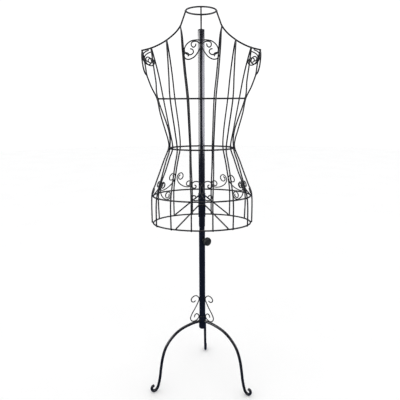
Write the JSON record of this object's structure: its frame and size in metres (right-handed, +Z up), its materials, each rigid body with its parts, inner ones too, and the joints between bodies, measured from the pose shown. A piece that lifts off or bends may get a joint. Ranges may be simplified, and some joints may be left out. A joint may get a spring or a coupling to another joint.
{
  "type": "dress form",
  "caption": "Wire dress form: openwork torso of black rods with scroll trim on a telescopic pole with clamp knob and curled tripod legs.",
  "frame": {"origin": "on the pole axis at floor level, under the middle of the tripod", "axes": "+Z up along the pole; the chest faces -Y; the form is left-right symmetric about X = 0"},
  "size_m": [0.396, 0.336, 1.3617],
  "materials": {
    "black_paint_tube": "gloss black enamel on steel tube",
    "black_paint_leg": "satin black enamel on steel rod",
    "black_paint_wire": "satin black enamel on steel wire",
    "knob_plastic": "moulded black plastic",
    "nylon": "moulded black nylon",
    "zinc_steel": "zinc plated steel"
  },
  "bodies": {
    "stand": {"stand_tube": "black_paint_tube", "base_socket": "black_paint_tube", "base_plug": "black_paint_tube", "leg_rear": "black_paint_leg", "leg_left": "black_paint_leg", "leg_right": "black_paint_leg", "base_scroll_rear": "black_paint_wire", "base_scroll_left": "black_paint_wire", "base_scroll_right": "black_paint_wire", "clamp_nut": "black_paint_tube"},
    "clamp_screw": {"clamp_screw": "zinc_steel"},
    "clamp_knob": {"clamp_knob": "knob_plastic"},
    "mast": {"mast_tube": "black_paint_tube", "mast_foot_plug": "nylon", "mast_head_plug": "nylon"},
    "torso": {"torso_tube": "black_paint_tube", "torso_tube_cap": "black_paint_tube", "stop_plug": "nylon", "strut_sleeve": "black_paint_tube", "strut_front": "black_paint_wire", "strut_rear": "black_paint_wire", "neck_ring": "black_paint_wire", "chest_ring": "black_paint_wire", "waist_ring": "black_paint_wire", "hip_ring": "black_paint_wire", "hem_ring": "black_paint_wire", "neck_stay_front": "black_paint_wire", "neck_stay_back": "black_paint_wire", "shoulder_wire_left": "black_paint_wire", "shoulder_wire_right": "black_paint_wire", "armhole_left": "black_paint_wire", "armhole_right": "black_paint_wire", "side_wire_left": "black_paint_wire", "side_wire_right": "black_paint_wire", "front_wire_inner_left": "black_paint_wire", "front_wire_inner_right": "black_paint_wire", "front_wire_middle_left": "black_paint_wire", "front_wire_middle_right": "black_paint_wire", "front_wire_outer_left": "black_paint_wire", "front_wire_outer_right": "black_paint_wire", "back_wire_inner_left": "black_paint_wire", "back_wire_inner_right": "black_paint_wire", "back_wire_middle_left": "black_paint_wire", "back_wire_middle_right": "black_paint_wire", "back_wire_outer_left": "black_paint_wire", "back_wire_outer_right": "black_paint_wire", "heart_scroll_left": "black_paint_wire", "heart_scroll_right": "black_paint_wire", "shoulder_scrolls_left": "black_paint_wire", "shoulder_scrolls_right": "black_paint_wire", "hip_scroll_centre": "black_paint_wire", "hip_scrolls_front_left": "black_paint_wire", "hip_scrolls_front_right": "black_paint_wire", "hip_scrolls_back_left": "black_paint_wire", "hip_scrolls_back_right": "black_paint_wire"}
  },
  "joints": [
    {"name": "height_slide", "type": "slide", "parent": "stand", "child": "mast", "axis": [0, 0, 1], "range_m": [-0.016, 0.22]},
    {"name": "torso_turn", "type": "hinge", "parent": "mast", "child": "torso", "pos_m": [0, 0, 0.783], "axis": [0, 0, 1], "continuous": true},
    {"name": "clamp_travel", "type": "slide", "parent": "stand", "child": "clamp_screw", "axis": [0.682, -0.7314, 0], "range_m": [0, 0.0025]},
    {"name": "clamp_spin", "type": "hinge", "parent": "clamp_screw", "child": "clamp_knob", "pos_m": [0.01773, -0.01902, 0.56], "axis": [0.682, -0.7314, 0], "range_deg": [0, 720]}
  ],
  "couplings": [
    {"joint": "clamp_travel", "follows": "clamp_spin", "m_per_rad": 0.00019894}
  ]
}
